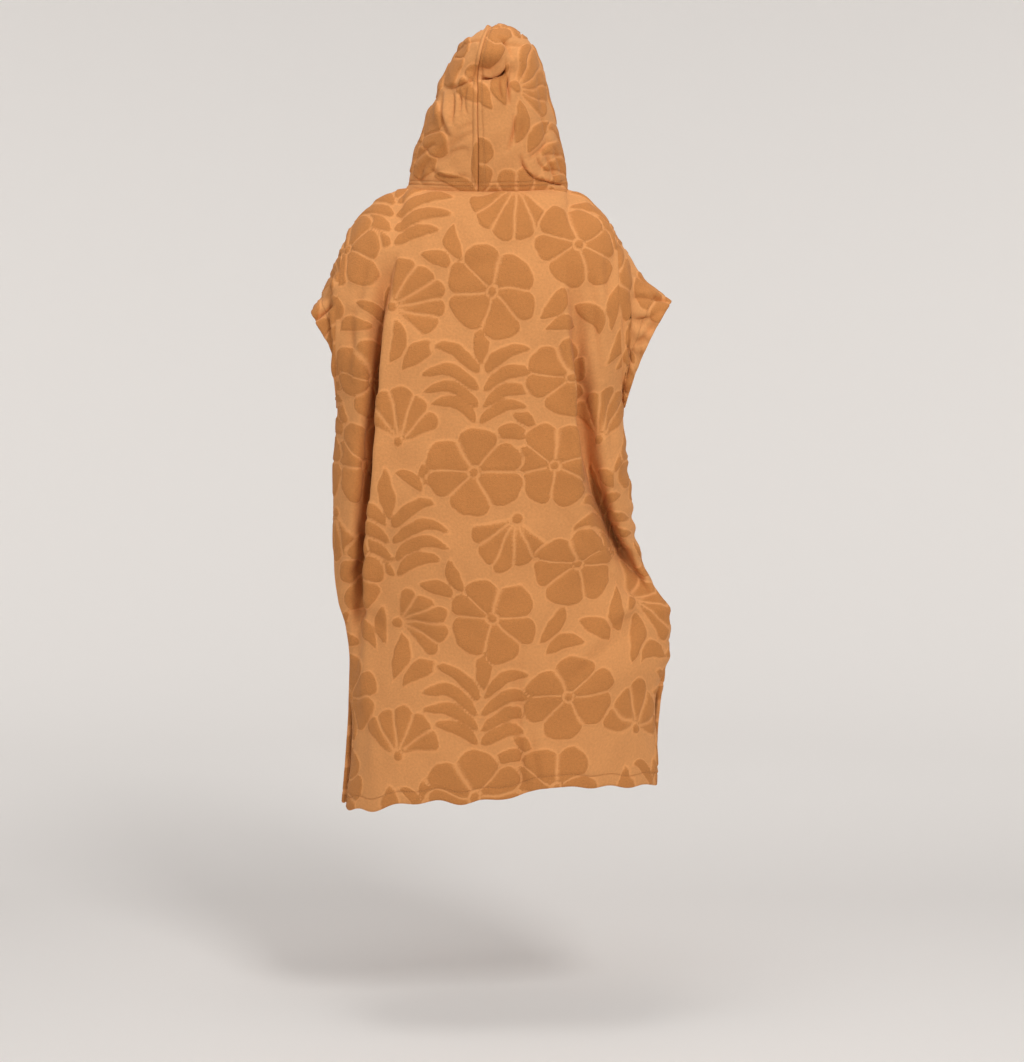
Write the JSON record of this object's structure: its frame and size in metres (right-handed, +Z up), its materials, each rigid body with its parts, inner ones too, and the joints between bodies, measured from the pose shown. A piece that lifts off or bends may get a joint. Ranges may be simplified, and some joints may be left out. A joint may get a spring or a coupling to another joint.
{
  "type": "hooded bath poncho",
  "caption": "Knee-length hooded poncho of sculpted terry cloth with short sewn-on sleeves and side vents, in its worn shape.",
  "frame": {"origin": "middle of the neck opening, at the height where the shoulders carry the cloth", "axes": "+Z up, the front faces -Y, the wearer's left is +X"},
  "size_m": [0.6211, 0.2569, 1.3415],
  "materials": {
    "terry": "matte sculpted terry, tone on tone"
  },
  "bodies": {
    "root": {"back": "terry", "front": "terry", "left_sleeve": "terry", "right_sleeve": "terry", "left_hood": "terry", "right_hood": "terry"}
  },
  "joints": []
}
